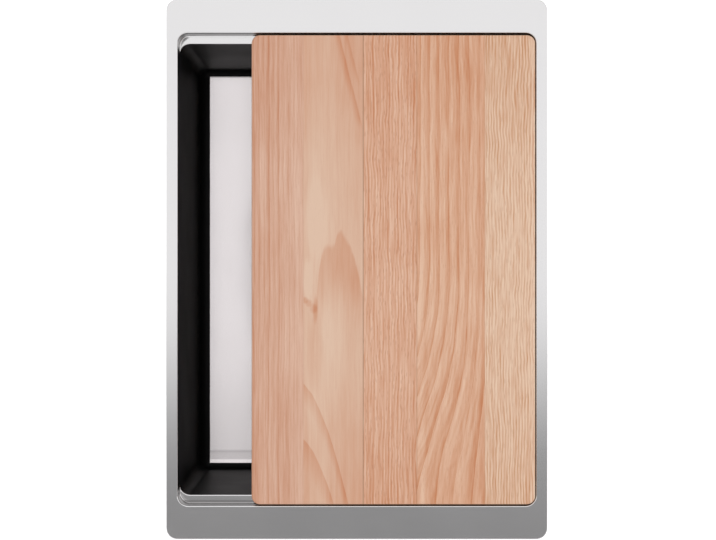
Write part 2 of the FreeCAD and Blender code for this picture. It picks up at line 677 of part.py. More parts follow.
def make_overflow_hose():
    """Ribbed hose with plain cuffs: four circles to a rib, and a smooth bore."""
    pitch = (HOSE_LENGTH - 2 * HOSE_CUFF) / HOSE_RIBS
    rib_profile = (
        (0.15, HOSE_VALLEY_RADIUS),
        (0.45, HOSE_VALLEY_RADIUS),
        (0.60, HOSE_CREST_RADIUS),
        (0.98, HOSE_CREST_RADIUS),
    )
    circles = [hose_circle(0, HOSE_CREST_RADIUS), hose_circle(HOSE_CUFF, HOSE_CREST_RADIUS)]
    for rib in range(HOSE_RIBS):
        for share, radius in rib_profile:
            circles.append(hose_circle(HOSE_CUFF + (rib + share) * pitch, radius))
    circles.append(hose_circle(HOSE_LENGTH, HOSE_CREST_RADIUS))
    outside = Part.makeLoft(circles, True, True)
    top, low = Vector(0, HOSE_REAR_Y, HOSE_TOP_Z), Vector(0, HOSE_REAR_Y, HOSE_TOP_Z - HOSE_FALL)
    falling = cylinder(HOSE_BORE_RADIUS, top + Z_AXIS * OVER, DOWN, HOSE_FALL + OVER)
    section = Part.Face(Part.Wire(Part.Circle(low, Z_AXIS, HOSE_BORE_RADIUS).toShape()))
    pivot = low - Vector(0, HOSE_BEND_RADIUS, 0)
    bend = section.revolve(pivot, X_AXIS, -90)
    bend_end = pivot - Vector(0, 0, HOSE_BEND_RADIUS)
    forward = cylinder(HOSE_BORE_RADIUS, bend_end, Vector(0, -1, 0), HOSE_RUN + OVER)
    return outside.cut([falling, bend, forward])


def make_hose_clip(distance, turn):
    """Worm drive clip round a hose cuff: band, housing and screw."""
    band_thickness, width, housing_height, housing_half = 1.0, 9.0, 5.0, 6.0
    housing_round, sunk = 1.5, 0.5
    screw_radius, screw_length, screw_height = 2.6, 5.0, 2.2
    outer = HOSE_CREST_RADIUS + band_thickness
    top = outer + housing_height
    band = ring(outer, HOSE_CREST_RADIUS, -width / 2, width / 2)
    housing = box(-housing_half, housing_half, outer - sunk, top, -width / 2, width / 2)
    upper = [e for e in edges_along(housing, Z_AXIS) if e.BoundBox.YMin > top - NEAR]
    housing = housing.makeFillet(housing_round, upper)
    screw_start = Vector(housing_half, outer + screw_height, 0)
    screw = cylinder(screw_radius, screw_start, X_AXIS, screw_length)
    clip = band.fuse([housing, screw]).removeSplitter()
    centre, direction = hose_point(distance)
    clip.rotate(ORIGIN, Z_AXIS, turn)
    clip.Placement = Placement(centre, Rotation(Z_AXIS, direction)).multiply(clip.Placement)
    return clip


# ---- rails, clamps, pads and earth tag ----
def make_rail(side):
    """Rail spot-welded under the deck, open below, in front of or behind the bowl."""
    half, lip, t = RAIL_WIDTH / 2, RAIL_LIP + SHEET, SHEET
    top, low = DECK_BOTTOM, RAIL_BOTTOM
    section = [
        (-half, top),
        (half, top),
        (half, low),
        (half - lip, low),
        (half - lip, low + t),
        (half - t, low + t),
        (half - t, top - t),
        (t - half, top - t),
        (t - half, low + t),
        (lip - half, low + t),
        (lip - half, low),
        (-half, low),
    ]
    rail = prism_along_x(section, -RAIL_LENGTH / 2, RAIL_LENGTH / 2)
    rail.translate(Vector(0, side * RAIL_Y, 0))
    return rail


def flat_sided_rod(radius, half_flat, low, high):
    rod = cylinder(radius, Vector(0, 0, low), Z_AXIS, high - low)
    return rod.common(box(-half_flat, half_flat, -radius, radius, low, high))


def make_clamp_bolt():
    """Bolt whose round foot stands on the rail's lips; its two flats turn the claw with it."""
    foot_radius, foot_height = 5.5, 2.5
    foot = cylinder(foot_radius, Vector(0, 0, BOLT_FOOT), Z_AXIS, foot_height)
    shank = flat_sided_rod(BOLT_RADIUS, BOLT_FLAT, BOLT_FOOT - BOLT_LENGTH, BOLT_FOOT)
    return foot.fuse(shank).removeSplitter()


def make_clamp_claw():
    """Pressed claw with a toothed end, pointing along +X, and a rib that stiffens its arm."""
    corner, notch_half, notch_depth, notch_places = 4.0, 2.0, 3.0, (-4.0, 0.0, 4.0)
    rib_half, rib_height, rib_start = 1.5, 1.5, 9.0
    half = CLAW_WIDTH / 2
    end = CLAW_REACH - CLAW_SHEET
    plate = box(-CLAW_HEEL, CLAW_REACH, -half, half, CLAW_BOTTOM, CLAW_TOP)
    heel_edges = [e for e in edges_along(plate, Z_AXIS) if e.BoundBox.XMax < 0]
    plate = plate.makeFillet(corner, heel_edges)
    upstand = box(end, CLAW_REACH, -half, half, CLAW_TOP, CLAW_TIP_Z)
    rib = box(rib_start, end, -rib_half, rib_half, CLAW_TOP, CLAW_TOP + rib_height)
    notches = []
    for place in notch_places:
        section = [
            (place - notch_half, CLAW_TIP_Z),
            (place + notch_half, CLAW_TIP_Z),
            (place, CLAW_TIP_Z - notch_depth),
        ]
        notches.append(prism_along_x(section, end - OVER, CLAW_REACH + OVER))
    radius, flat = BOLT_RADIUS + 2 * SNUG, BOLT_FLAT + 2 * SNUG
    hole = flat_sided_rod(radius, flat, CLAW_BOTTOM - OVER, CLAW_TOP + OVER)
    return plate.fuse([upstand, rib]).cut(notches + [hole]).removeSplitter()


def make_clamp_nut():
    """Wing nut that pushes the claw up the bolt."""
    hub_top, hub_low, hub_height = 6.5, 5.0, 8.0
    wing_half, wing_reach, wing_start, wing_end, wing_round = 1.2, 14.0, 2.5, 12.5, 4.0
    hub = revolved(
        [
            (0, CLAW_BOTTOM),
            (hub_top, CLAW_BOTTOM),
            (hub_low, CLAW_BOTTOM - hub_height),
            (0, CLAW_BOTTOM - hub_height),
        ]
    )
    wings = box(
        -wing_reach,
        wing_reach,
        -wing_half,
        wing_half,
        CLAW_BOTTOM - wing_end,
        CLAW_BOTTOM - wing_start,
    )
    wings = wings.makeFillet(wing_round, edges_along(wings, Y_AXIS))
    between = cylinder(hub_low, Vector(0, 0, CLAW_BOTTOM - hub_height), DOWN, wing_end)
    start = Vector(0, 0, CLAW_BOTTOM + OVER)
    thread = cylinder(BOLT_RADIUS + SNUG, start, DOWN, hub_height + 2 * OVER)
    return hub.fuse(wings.cut(between)).cut(thread).removeSplitter()


def make_clamps():
    """Four clamps, stowed so that each claw lies along its rail and points away from the middle."""
    pieces = {}
    shapes = {"bolt": make_clamp_bolt(), "claw": make_clamp_claw(), "nut": make_clamp_nut()}
    for row, side in (("front", -1), ("rear", 1)):
        for end, x, turn in (("left", -CLAMP_X, 180), ("right", CLAMP_X, 0)):
            for kind, shape in shapes.items():
                piece = shape.copy()
                piece.rotate(ORIGIN, Z_AXIS, turn)
                piece.translate(Vector(x, side * RAIL_Y, 0))
                pieces[f"clamp_{kind}_{row}_{end}"] = piece
    return pieces


def make_pad(width, height, centre, turn):
    """Damping pad, a rounded slab laid on the face at centre."""
    corner = 8.0
    pad = rounded_prism(width, height, corner, 0, PAD_THICKNESS)
    pad.Placement = Placement(centre, turn)
    return pad


def make_pads():
    middle_z = FLOOR_TOP + PAD_HEIGHT
    side_length, side_height = 260.0, 120.0
    front_width, end_height = 200.0, 110.0
    rear_width, rear_x = 90.0, 80.0
    floor_width, floor_length, floor_y = 230.0, 100.0, 135.0
    to_right, to_left = Rotation(Y_AXIS, 90), Rotation(Y_AXIS, -90)
    to_rear, to_front = Rotation(X_AXIS, -90), Rotation(X_AXIS, 90)
    pads = {
        "sound_pad_right": (side_height, side_length, Vector(WALL_X, 0, middle_z), to_right),
        "sound_pad_left": (side_height, side_length, Vector(-WALL_X, 0, middle_z), to_left),
        "sound_pad_front": (front_width, end_height, Vector(0, -WALL_Y, middle_z), to_front),
    }
    for end, x in (("left", -rear_x), ("right", rear_x)):
        centre = Vector(x, WALL_Y, middle_z)
        pads[f"sound_pad_rear_{end}"] = (rear_width, end_height, centre, to_rear)
    pieces = {name: make_pad(*values) for name, values in pads.items()}
    under = Rotation(X_AXIS, 180)
    for row, y in (("front", -floor_y), ("rear", floor_y)):
        pad = make_pad(floor_width, floor_length, Vector(0, y, FLOOR_BOTTOM), under)
        pieces[f"sound_pad_floor_{row}"] = pad.cut(floor_dish())
    return pieces


def make_earth_tag():
    """Small bent tag spot-welded to the rear wall, for the bonding wire."""
    x, half, reach, height, bend_z = -150.0, 6.0, 14.0, 18.0, -42.0
    hole_radius, hole_reach = 2.1, 9.0
    foot = box(-half, half, WALL_Y, WALL_Y + SHEET, bend_z - height, bend_z)
    blade = box(-half, half, WALL_Y, WALL_Y + reach, bend_z - SHEET, bend_z)
    start = Vector(0, WALL_Y + hole_reach, bend_z + OVER)
    hole = cylinder(hole_radius, start, DOWN, SHEET + 2 * OVER)
    tag = foot.fuse(blade).cut(hole).removeSplitter()
    tag.translate(Vector(x, 0, 0))
    return tag


def make_all():
    pieces = {
        "deck": make_deck(),
        "deck_seal": make_deck_seal(),
        "bowl_walls": make_bowl_walls(),
        "bowl_floor": make_floor(),
        "waste_cup": make_waste_cup(),
        "waste_upper_gasket": make_ring_gasket(UPPER_GASKET_RADIUS, SEAT_Z, UPPER_GASKET),
        "waste_lower_gasket": make_ring_gasket(LOWER_GASKET_RADIUS, BODY_TOP, LOWER_GASKET),
        "waste_body": make_waste_body(),
        "waste_screw": make_waste_screw(),
        "basket": make_basket(),
        "basket_stopper": make_basket_stopper(),
        "basket_stem": make_basket_stem(),
        "basket_knob": make_basket_knob(),
        "overflow_cover": make_overflow_cover(),
        "overflow_screw": make_overflow_screw(),
        "overflow_gasket": make_overflow_gasket(),
        "overflow_elbow": make_overflow_elbow(),
        "overflow_hose": make_overflow_hose(),
        "hose_clip_upper": make_hose_clip(HOSE_CUFF / 2, 90),
        "hose_clip_lower": make_hose_clip(HOSE_LENGTH - HOSE_CUFF / 2, 180),
        "rail_front": make_rail(-1),
        "rail_rear": make_rail(1),
        "earth_tag": make_earth_tag(),
    }
    pieces.update(make_staves())
    pieces.update(make_pads())
    pieces.update(make_clamps())
    return pieces


def main():
    os.makedirs("parts", exist_ok=True)
    for name, shape in make_all().items():
        state = "" if shape.isValid() and len(shape.Solids) == 1 else "NOT ONE VALID SOLID"
        print(f"{name}: {shape.Volume:.1f} mm3 {state}")
        shape.exportStep(f"parts/{name}.step")


main()
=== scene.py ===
import bpy
import math
import numpy as np
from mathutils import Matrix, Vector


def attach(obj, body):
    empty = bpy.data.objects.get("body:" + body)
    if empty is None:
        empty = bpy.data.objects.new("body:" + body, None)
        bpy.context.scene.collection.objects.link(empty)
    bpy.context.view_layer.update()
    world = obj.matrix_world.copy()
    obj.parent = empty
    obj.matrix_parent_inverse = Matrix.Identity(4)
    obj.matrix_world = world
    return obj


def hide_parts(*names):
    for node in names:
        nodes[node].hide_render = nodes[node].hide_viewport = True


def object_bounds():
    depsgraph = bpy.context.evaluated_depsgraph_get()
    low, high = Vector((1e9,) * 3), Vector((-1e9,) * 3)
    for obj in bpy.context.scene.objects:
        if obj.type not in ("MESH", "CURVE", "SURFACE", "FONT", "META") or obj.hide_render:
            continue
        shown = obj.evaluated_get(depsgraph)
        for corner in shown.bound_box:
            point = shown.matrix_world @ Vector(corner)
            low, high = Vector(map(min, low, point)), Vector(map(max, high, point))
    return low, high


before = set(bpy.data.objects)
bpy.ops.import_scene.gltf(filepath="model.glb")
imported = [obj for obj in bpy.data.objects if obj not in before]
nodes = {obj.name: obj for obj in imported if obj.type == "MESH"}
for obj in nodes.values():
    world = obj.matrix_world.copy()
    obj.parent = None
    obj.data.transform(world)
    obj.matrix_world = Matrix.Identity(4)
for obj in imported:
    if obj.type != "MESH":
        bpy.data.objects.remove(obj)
cadBox = [[float(v) for v in corner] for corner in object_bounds()]
scene = bpy.context.scene
scene.view_settings.view_transform = "Standard"
print("frame loaded,", len(nodes), "nodes")


class Shades:  # a node tree, with short names for the nodes that the finishes are made of
    def __init__(self, tree):
        self.tree = tree

    def put(self, kind, inputs=None, **settings):  # a node, with its sockets linked or set by name or number
        node = self.tree.nodes.new(kind)
        for key, value in settings.items():
            setattr(node, key, value)
        for key, value in (inputs or {}).items():
            if isinstance(value, bpy.types.NodeSocket):
                self.tree.links.new(value, node.inputs[key])
            else:
                node.inputs[key].default_value = value
        return node

    def calc(self, operation, a, b=0.0, clamp=False):
        return self.put("ShaderNodeMath", {0: a, 1: b}, operation=operation, use_clamp=clamp).outputs[0]

    def add(self, first, *others):
        for other in others:
            first = self.calc("ADD", first, other)
        return first

    def times(self, first, *others):
        for other in others:
            first = self.calc("MULTIPLY", first, other)
        return first

    def minus(self, a, b):
        return self.calc("SUBTRACT", a, b)

    def size(self, a):  # without its sign
        return self.calc("ABSOLUTE", a)

    def ranged(self, value, low, high, toLow=0.0, toHigh=1.0, kind="SMOOTHSTEP"):
        inputs = {"Value": value, "From Min": low, "From Max": high, "To Min": toLow, "To Max": toHigh}
        return self.put("ShaderNodeMapRange", inputs, interpolation_type=kind).outputs[0]

    def mixed(self, factor, a, b):
        return self.put("ShaderNodeMix", {0: factor, 6: a, 7: b}, data_type="RGBA").outputs[2]

    def scaled(self, vector, scale, shift=(0, 0, 0)):
        inputs = {"Vector": vector, "Scale": scale, "Location": shift}
        return self.put("ShaderNodeMapping", inputs).outputs[0]

    def metres(self):
        return self.put("ShaderNodeTexCoord").outputs["Object"]

    def millimetres(self):
        return self.scaled(self.metres(), (1000, 1000, 1000))

    def axes(self, vector):
        return self.put("ShaderNodeSeparateXYZ", {0: vector}).outputs

    def facing(self):  # the way the surface looks
        return self.axes(self.put("ShaderNodeNewGeometry").outputs["Normal"])

    def noise(self, vector, scale, detail=2.0, rough=0.5, shift=(0, 0, 0)):  # 0 to 1; scale is features a unit
        spot = self.scaled(vector, scale, shift)
        inputs = {"Vector": spot, "Scale": 1.0, "Detail": detail, "Roughness": rough}
        return self.put("ShaderNodeTexNoise", inputs).outputs[0]

    def waver(self, *values, **more):  # noise from minus a half to a half
        return self.minus(self.noise(*values, **more), 0.5)

    def dress(self, shader, colour, rough, height, depth):  # colour, roughness and relief of a shader
        relief = self.put("ShaderNodeBump", {"Height": height, "Distance": depth, "Strength": 1.0}).outputs[0]
        for socket, source in (("Base Color", colour), ("Roughness", rough), ("Normal", relief)):
            self.tree.links.new(source, shader.inputs[socket])


def newMaterial(name):  # a material, its tree and its shader
    material = bpy.data.materials.new(name)
    material.use_nodes = True
    return material, Shades(material.node_tree), material.node_tree.nodes["Principled BSDF"]


def setSockets(shader, **values):
    for name, value in values.items():
        shader.inputs[name.replace("_", " ")].default_value = value


def rgb(red, green, blue):
    return (red, green, blue, 1.0)


# steel: brushed lines stretched along one axis, and faint clouds
brushed = {
    "lineRough": 0.65, "clouds": (0.012, 0.012, 0.012), "lineShare": 0.6, "cloudShare": 0.4, "tone": (0.25, 0.75),
}


def brushedSteel(name, look):
    material, shades, shader = newMaterial(name)
    place = shades.millimetres()
    axes = shades.axes(place)
    lines = shades.noise(place, look["lines"], 3.0, brushed["lineRough"])
    clouds = shades.noise(place, brushed["clouds"], 3.0)
    tone = shades.add(shades.times(lines, brushed["lineShare"]), shades.times(clouds, brushed["cloudShare"]))
    shade = shades.mixed(tone, look["dark"], look["light"])
    rough = shades.ranged(tone, *brushed["tone"], *look["rough"])
    height = shades.times(lines, look["depth"])
    if "step" in look:
        shade, rough, height = pressedStep(shades, axes, look["step"], shade, rough, height)
    if "mill" in look:
        shade, rough = millSide(shades, clouds, look["mill"], shade, rough)
    if "frontShade" in look:
        shade = paintedFrontShade(shades, axes[1], look["frontShade"], shade)
    if "blackEdge" in look:
        shade = blackPlateEdges(shades, axes, lines, look["blackEdge"], shade)
    if "dish" in look:
        height = dished(shades, look["dish"], height)
    shades.dress(shader, shade, rough, height, 1.0)
    setSockets(shader, Metallic=1.0)
    if "across" in look:  # brushed lines spread a reflection across themselves
        setSockets(shader, Anisotropic=look["spread"])
        across = shades.put("ShaderNodeCombineXYZ", dict(enumerate(look["across"]))).outputs[0]
        shades.tree.links.new(across, shader.inputs["Tangent"])
    return material


def pressedStep(shades, axes, step, shade, rough, height):
    # painted shade: the step's wall is painted dark and made rougher; painted reflection: on the front ledge the strip
    # beside the wall is painted darker, standing in for the dark wall it mirrors; at the rear the ledge rises by the
    # distance squared
    along, upright = shades.size(axes[1]), shades.size(shades.facing()[2])
    wall = shades.ranged(upright, *step["steep"])
    below = shades.ranged(axes[2], *step["below"])
    inside = shades.times(
        shades.calc("LESS_THAN", along, step["alongTo"]), shades.calc("GREATER_THAN", along, step["alongFrom"]),
        shades.calc("LESS_THAN", shades.size(axes[0]), step["across"]),
    )
    # painted shade: the step's wall is painted dark
    paintedWallShade = shades.times(wall, below, inside)
    shade = shades.mixed(paintedWallShade, shade, step["dark"])
    rough = shades.add(rough, shades.times(paintedWallShade, step["duller"]))
    onLedge = shades.times(shades.calc("LESS_THAN", axes[2], step["ledge"]), inside)
    # painted reflection: the front ledge strip beside the wall is painted darker
    paintedReflectionStrip = shades.times(onLedge, shades.ranged(axes[1], *step["paintedReflectionStrip"]), shades.minus(1.0, wall))
    shade = shades.mixed(paintedReflectionStrip, shade, step["paintedReflectionColour"])
    near = shades.calc("MAXIMUM", shades.minus(axes[1], step["curlFrom"]), 0.0)
    return shade, rough, shades.add(height, shades.times(near, near, step["curl"], onLedge))


def millSide(shades, clouds, mill, shade, rough):  # mill finish on the side that nobody sees
    down = shades.ranged(shades.facing()[2], *mill["down"])
    shade = shades.mixed(down, shade, shades.mixed(clouds, mill["dark"], mill["light"]))
    return shade, shades.add(rough, shades.times(down, mill["duller"]))


def paintedFrontShade(shades, along, frontShade, shade):  # painted shade: the curled front strip of the floor is painted darker
    strip = shades.times(shades.ranged(along, *frontShade["rear"]), shades.ranged(along, *frontShade["front"]))
    return shades.mixed(shades.times(strip, frontShade["share"]), shade, rgb(0, 0, 0))


def blackPlateEdges(shades, axes, lines, blackEdge, shade):  # the plate's edges beside the walls are black for a little under a millimetre, along a ragged line
    ragged = shades.times(shades.minus(lines, 0.5), blackEdge["ragged"])
    sideways = shades.minus(shades.size(axes[0]), blackEdge["across"])
    lengthways = shades.minus(axes[1], blackEdge["along"])
    over = shades.add(shades.calc("MAXIMUM", sideways, lengthways), ragged)
    return shades.mixed(shades.ranged(over, -blackEdge["soft"], blackEdge["soft"]), shade, blackEdge["colour"])


def dished(shades, dish, height):  # the plate rises towards its edges, by a share of the distance squared, in metres
    axes = shades.axes(shades.metres())
    sides = (
        (axes[0], dish["across"]),
        (shades.calc("MAXIMUM", axes[1], 0.0), dish["rear"]),
        (shades.calc("MINIMUM", axes[1], 0.0), dish["front"]),
        (shades.calc("MAXIMUM", shades.minus(-dish["curlFrom"], axes[1]), 0.0), dish["curl"]),
    )
    for side, share in sides:
        height = shades.add(height, shades.times(side, side, share))
    return height


steelLooks = {
    "deckSteel": {
        "lines": (0.03, 2.6, 2.6), "dark": rgb(0.765, 0.758, 0.762), "light": rgb(0.835, 0.83, 0.832),
        "rough": (0.10, 0.14), "depth": 0.0000006,
        # painted shade on the step's wall, and a painted dark reflection on the front ledge strip
        "step": {
            "steep": (0.62, 0.3), "below": (2.4, 1.6), "alongFrom": 207.0, "alongTo": 225.0, "across": 171.0,
            "dark": rgb(0.24, 0.232, 0.23), "duller": 0.12, "ledge": -10.0, "paintedReflectionStrip": (-219.6, -220.8),
            "paintedReflectionColour": rgb(0.42, 0.41, 0.41), "curlFrom": 219.6, "curl": 0.000013,
        },
    },
    "floorSteel": {
        "lines": (2.6, 0.03, 2.6), "dark": rgb(0.815, 0.77, 0.777), "light": rgb(0.895, 0.848, 0.853),
        "rough": (0.12, 0.17), "depth": 0.0000003, "across": (1.0, 0.0, 0.0), "spread": 0.85,
        "mill": {"down": (-0.2, -0.6), "dark": rgb(0.42, 0.425, 0.43), "light": rgb(0.60, 0.60, 0.605), "duller": 0.22},
        # painted shade on the floor's curled front strip
        "frontShade": {"rear": (-194.0, -197.0), "front": (-205.8, -204.4), "share": 0.32},
        "blackEdge": {"across": 158.8, "along": 208.2, "ragged": 0.5, "soft": 0.15, "colour": rgb(0.008, 0.0078, 0.008)},
        "dish": {"across": 0.16, "rear": 0.13, "front": 0.072, "curlFrom": 0.196, "curl": 4.6},
    },
    "wasteSteel": {
        "lines": (0.5, 0.5, 2.4), "dark": rgb(0.62, 0.615, 0.61), "light": rgb(0.75, 0.745, 0.74),
        "rough": (0.14, 0.26), "depth": 0.000002,
    },
    "railSteel": {
        "lines": (0.04, 0.9, 0.9), "dark": rgb(0.40, 0.41, 0.42), "light": rgb(0.58, 0.59, 0.60),
        "rough": (0.34, 0.5), "depth": 0.000004,
    },
    "zinc": {
        "lines": (0.7, 0.7, 0.25), "dark": rgb(0.46, 0.46, 0.43), "light": rgb(0.66, 0.66, 0.62),
        "rough": (0.28, 0.45), "depth": 0.000004,
    },
}
finishes = {name: brushedSteel(name, look) for name, look in steelLooks.items()}
print("steel ready")


# black walls, plastics and rubbers: a fine pebble, faint clouds and a soft sheen
moulded = {"pebbleRough": 0.6, "clouds": (0.02, 0.02, 0.02), "share": 0.5, "tone": (0.3, 0.7), "gloss": 0.5}


def mouldedSkin(name, look):
    material, shades, shader = newMaterial(name)
    place = shades.millimetres()
    pebble = shades.noise(place, (look["grain"],) * 3, 2.0, moulded["pebbleRough"])
    clouds = shades.noise(place, moulded["clouds"], 3.0)
    tone = shades.add(shades.times(pebble, moulded["share"]), shades.times(clouds, moulded["share"]))
    shade = shades.mixed(tone, look["dark"], look["light"])
    shades.dress(shader, shade, shades.ranged(tone, *moulded["tone"], *look["rough"]), pebble, look["depth"])
    setSockets(shader, Specular_IOR_Level=look.get("gloss", moulded["gloss"]))
    return material


skinLooks = {
    "blackWalls": {
        "grain": 3.0, "dark": rgb(0.004, 0.004, 0.0043), "light": rgb(0.007, 0.0068, 0.007),
        "rough": (0.50, 0.58), "depth": 0.000004, "gloss": 0.25,
    },
    "foam": {
        "grain": 1.2, "dark": rgb(0.035, 0.035, 0.038), "light": rgb(0.09, 0.09, 0.095),
        "rough": (0.8, 0.95), "depth": 0.00015,
    },
    "rubber": {
        "grain": 2.2, "dark": rgb(0.014, 0.014, 0.015), "light": rgb(0.03, 0.03, 0.031),
        "rough": (0.5, 0.65), "depth": 0.00002,
    },
    "whitePlastic": {
        "grain": 1.6, "dark": rgb(0.70, 0.70, 0.67), "light": rgb(0.80, 0.80, 0.78),
        "rough": (0.38, 0.52), "depth": 0.00001,
    },
    "hosePlastic": {
        "grain": 1.4, "dark": rgb(0.42, 0.43, 0.44), "light": rgb(0.55, 0.56, 0.57),
        "rough": (0.36, 0.5), "depth": 0.00001,
    },
    "slotShade": {
        "grain": 2.0, "dark": rgb(0.03, 0.03, 0.031), "light": rgb(0.055, 0.055, 0.056),
        "rough": (0.5, 0.65), "depth": 0.00001,
    },
    "damping": {
        "grain": 0.8, "dark": rgb(0.02, 0.02, 0.022), "light": rgb(0.05, 0.05, 0.053),
        "rough": (0.6, 0.85), "depth": 0.0002,
    },
}
finishes.update({name: mouldedSkin(name, look) for name, look in skinLooks.items()})
print("coatings and plastics ready")


# beech: growth rings that wander and lean, fibres, ray flecks and end grain
grain = {
    "wander": (0.018, 0.007, 0.018), "ripple": (0.09, 0.03, 0.09), "fibre": (1.5, 0.045, 1.5),
    "streak": (0.3, 0.008, 0.3), "patch": (0.04, 0.012, 0.04), "ribDeep": 0.1, "lateLeft": 0.3,
    "strong": (0.12, 0.025, 0.1), "strongFrom": (0.35, 0.6), "strongTo": (0.25, 1.0), "jag": (0.16, 0.035, 0.1),
    "endMiddle": 15.0, "endFrom": (70.0, 210.0), "rayCore": 0.45, "endFacing": (0.6, 0.9), "endShare": 0.6,
    "pores": (2.6, 0.1, 2.6), "poreRough": 0.7, "poreTone": (0.35, 0.65), "glueFrom": (0.6, 0.15),
    "rough": (0.3, 0.7, 0.5, 0.64), "depth": 0.00004, "gloss": 0.4, "paleCore": 2.0,
}


def beech(name, look, edges):
    material, shades, shader = newMaterial(name)
    place = shades.millimetres()
    axes = shades.axes(place)
    seed = {"shift": look["seed"]}
    x = leaningPlace(shades, place, axes, look, edges)
    fibre = shades.noise(place, grain["fibre"], 3.0, 0.6, **seed)
    tones = [lateWood(shades, x, axes[0], look)]
    if look["lineGap"]:
        tones.append(fineLines(shades, place, x, look))
    shifted = shades.put("ShaderNodeCombineXYZ", {0: x, 1: axes[1], 2: axes[2]}).outputs[0]
    for kind, part in (
        ("fibre", fibre),
        ("streak", shades.noise(place, grain["streak"], **seed)),
        ("patch", shades.noise(place, grain["patch"], **seed)),
        ("rib", shades.noise(shifted, (look["ribAcross"], look["ribAlong"], grain["ribDeep"]), 1.0, **seed)),
    ):
        tones.append(shades.times(shades.minus(part, 0.5), look[kind]))
    fromMiddle = shades.size(shades.add(axes[1], grain["endMiddle"]))
    tones += [shades.ranged(fromMiddle, *grain["endFrom"], 0.0, look["ends"]), look["base"]]
    for middle, reach, amount in look["bands"]:
        offset = shades.size(shades.minus(axes[0], middle))
        tones.append(shades.ranged(offset, reach, 0.0, 0.0, amount))
    tones += [roundSpot(shades, x, axes[1], *spot) for spot in look["spots"]]
    if "flame" in look:
        tones.append(flameTone(shades, place, axes, look["flame"]))
    wood = shades.mixed(shades.calc("ADD", shades.add(*tones), 0.0, True), look["light"], look["dark"])
    spot = shades.scaled(place, (look["rayAcross"], look["rayAlong"], 1.0), look["seed"])
    fleck = shades.put("ShaderNodeTexVoronoi", {"Vector": spot, "Scale": 1.0}).outputs["Distance"]
    ray = shades.ranged(fleck, look["raySize"], look["raySize"] * grain["rayCore"])
    wood = shades.mixed(shades.times(ray, look["ray"]), wood, look["rayColour"])
    wood = endGrain(shades, place, look, wood)
    for edge, strength in zip(edges, look["glue"]):
        distance = shades.size(shades.minus(axes[0], edge))
        line = shades.ranged(distance, *grain["glueFrom"], 0.0, strength)
        wood = shades.mixed(line, wood, look["glueColour"])
    shades.dress(shader, wood, shades.ranged(fibre, *grain["rough"]), fibre, grain["depth"])
    setSockets(shader, Specular_IOR_Level=grain["gloss"])
    return material


def leaningPlace(shades, place, axes, look, edges):  # x plus wander, ripple, a lean along the stave and a tilt down
    wander = shades.waver(place, grain["wander"], shift=look["seed"])
    ripple = shades.waver(place, grain["ripple"], shift=look["seed"])
    lean = shades.ranged(axes[1], look["leanStart"], look["leanEnd"], 0.0, look["lean"])
    lean = shades.times(lean, shades.ranged(axes[0], *edges, 1.0, look["fan"], "LINEAR"))
    x = shades.add(axes[0], shades.times(wander, look["wander"]), shades.times(ripple, look["ripple"]), lean)
    return shades.add(x, shades.times(axes[2], look["tilt"]))


def lateWood(shades, x, across, look):  # each ring darkens by a power of the way through it, by its own share
    rings = shades.calc("DIVIDE", shades.add(x, look["ringShift"]), look["ringGap"])
    ring = shades.calc("FLOOR", rings)
    share = shades.put("ShaderNodeTexWhiteNoise", {"W": ring}, noise_dimensions="1D").outputs[0]
    late = shades.calc("POWER", shades.calc("FRACT", rings), look["lateSharp"])
    late = shades.times(late, shades.ranged(share, 0, 1, look["lateLow"], 1.0, "LINEAR"))
    if look["lateUntil"]:
        late = shades.times(late, shades.ranged(across, *look["lateUntil"], 1.0, grain["lateLeft"]))
    return shades.times(late, look["late"])


def fineLines(shades, place, x, look):  # a sine of x, all its lines wavering together and fading in and out
    waver = shades.times(shades.waver(place, look["waver"], 1.0, shift=look["seed"]), look["waverWide"])
    turns = shades.calc("DIVIDE", shades.add(x, waver), look["lineGap"])
    strong = shades.noise(place, grain["strong"], 1.0, shift=look["seed"])
    strong = shades.ranged(strong, *grain["strongFrom"], *grain["strongTo"])
    return shades.times(shades.calc("SINE", shades.times(turns, 2 * math.pi)), strong, look["line"])


def roundSpot(shades, x, y, spotX, spotY, reachX, reachY, amount):  # full in its middle, gone at its reach
    sideways = shades.calc("DIVIDE", shades.minus(x, spotX), reachX)
    lengthways = shades.calc("DIVIDE", shades.minus(y, spotY), reachY)
    reach = shades.add(shades.times(sideways, sideways), shades.times(lengthways, lengthways))
    return shades.ranged(reach, 1.0, 0.0, 0.0, amount)


def endGrain(shades, place, look, wood):  # pores on the faces that look along the stave
    isEnd = shades.ranged(shades.size(shades.facing()[1]), *grain["endFacing"])
    pores = shades.noise(place, grain["pores"], rough=grain["poreRough"])
    endWood = shades.mixed(shades.ranged(pores, *grain["poreTone"]), look["endDark"], look["endLight"])
    return shades.mixed(shades.times(isEnd, grain["endShare"]), wood, endWood)


def archField(shades, x, y, arch):  # y, plus lean by dx, bend by dx squared and square by dx to the fourth
    dx = shades.minus(x, arch["start"])
    squared = shades.times(dx, dx)
    leftMore = shades.times(shades.calc("LESS_THAN", dx, 0.0), arch["bendLeft"] - arch["bend"])
    drop = shades.times(squared, shades.add(leftMore, arch["bend"]))
    drop = shades.add(drop, shades.times(squared, squared, arch["square"]))
    return shades.add(y, shades.times(dx, arch["lean"]), drop)


def flameTone(shades, place, axes, flame):  # the darkest of a flat-sawn face's arches, and a pale core
    jag = shades.times(shades.waver(place, grain["jag"]), flame["jag"])
    total = 0.0
    for arch in flame["arches"]:
        arch = {**plainArch, **arch}
        field = shades.add(archField(shades, axes[0], axes[1], arch), shades.times(jag, arch["rough"]))
        rise = shades.ranged(field, arch["edge"] + arch["soft"], arch["edge"])
        fade = shades.ranged(field, arch["edge"] - arch["fade"], arch["edge"], kind="LINEAR")
        within = shades.ranged(axes[1], arch["low"], arch["full"])
        total = shades.calc("MAXIMUM", total, shades.times(rise, fade, arch["tone"], within))
    middle = shades.size(shades.minus(axes[0], flame["paleX"]))
    return shades.add(total, shades.ranged(middle, flame["paleWide"], grain["paleCore"], 0.0, -flame["pale"]))


